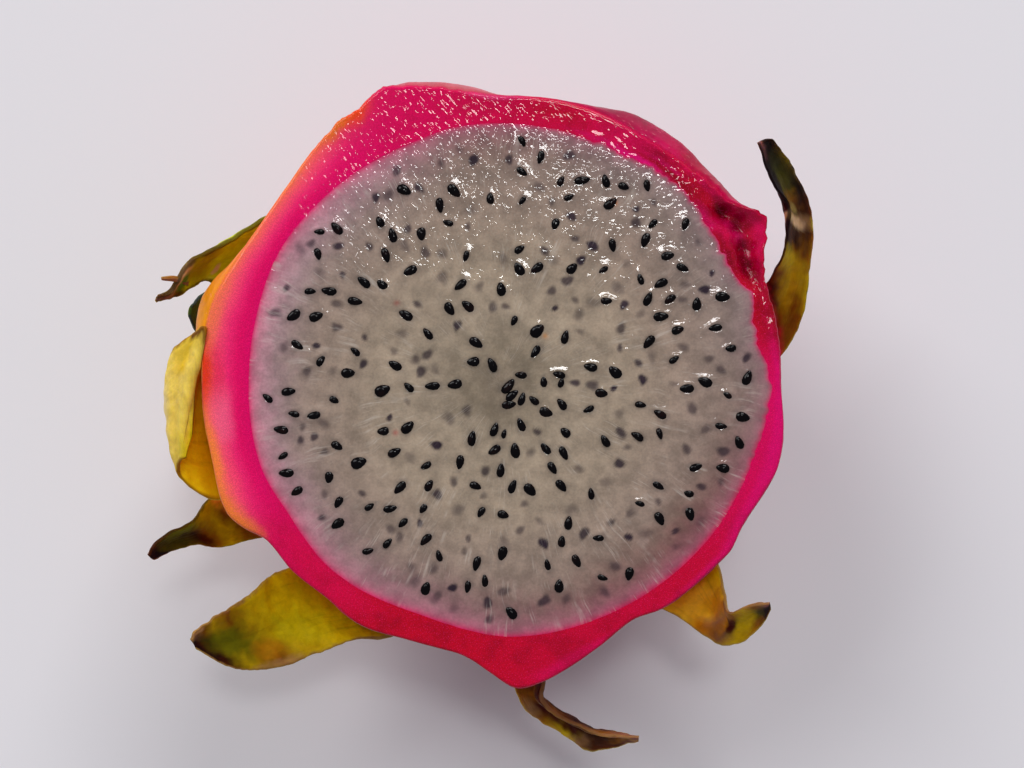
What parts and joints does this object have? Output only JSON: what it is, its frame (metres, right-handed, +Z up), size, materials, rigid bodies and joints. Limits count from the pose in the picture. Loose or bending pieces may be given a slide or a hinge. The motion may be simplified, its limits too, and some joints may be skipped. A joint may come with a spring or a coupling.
{
  "type": "dragon fruit half",
  "caption": "Half a white-fleshed dragon fruit, cut crosswise, standing on its stem end with the cut face up; pink skin with leafy bracts, white flesh with black seeds.",
  "frame": {"origin": "middle of the small flat spot at the stem end, on the surface that the half stands on", "axes": "+Z up towards the cut face; +X and +Y towards the picture's right and top, as seen from above the cut face"},
  "size_m": [0.108, 0.1083, 0.0603],
  "materials": {
    "peel": "hot pink skin, satin and moist where it is cut, waxy outside, turning orange and yellow towards the bracts",
    "flesh": "translucent greyish white flesh, wet, with fine pale fibres",
    "bract": "leathery yellow-olive to green, brown and dry at margins and tips",
    "seed": "glossy black seed coat"
  },
  "bodies": {
    "root": {"peel": "peel", "flesh": "flesh"}
  },
  "joints": []
}
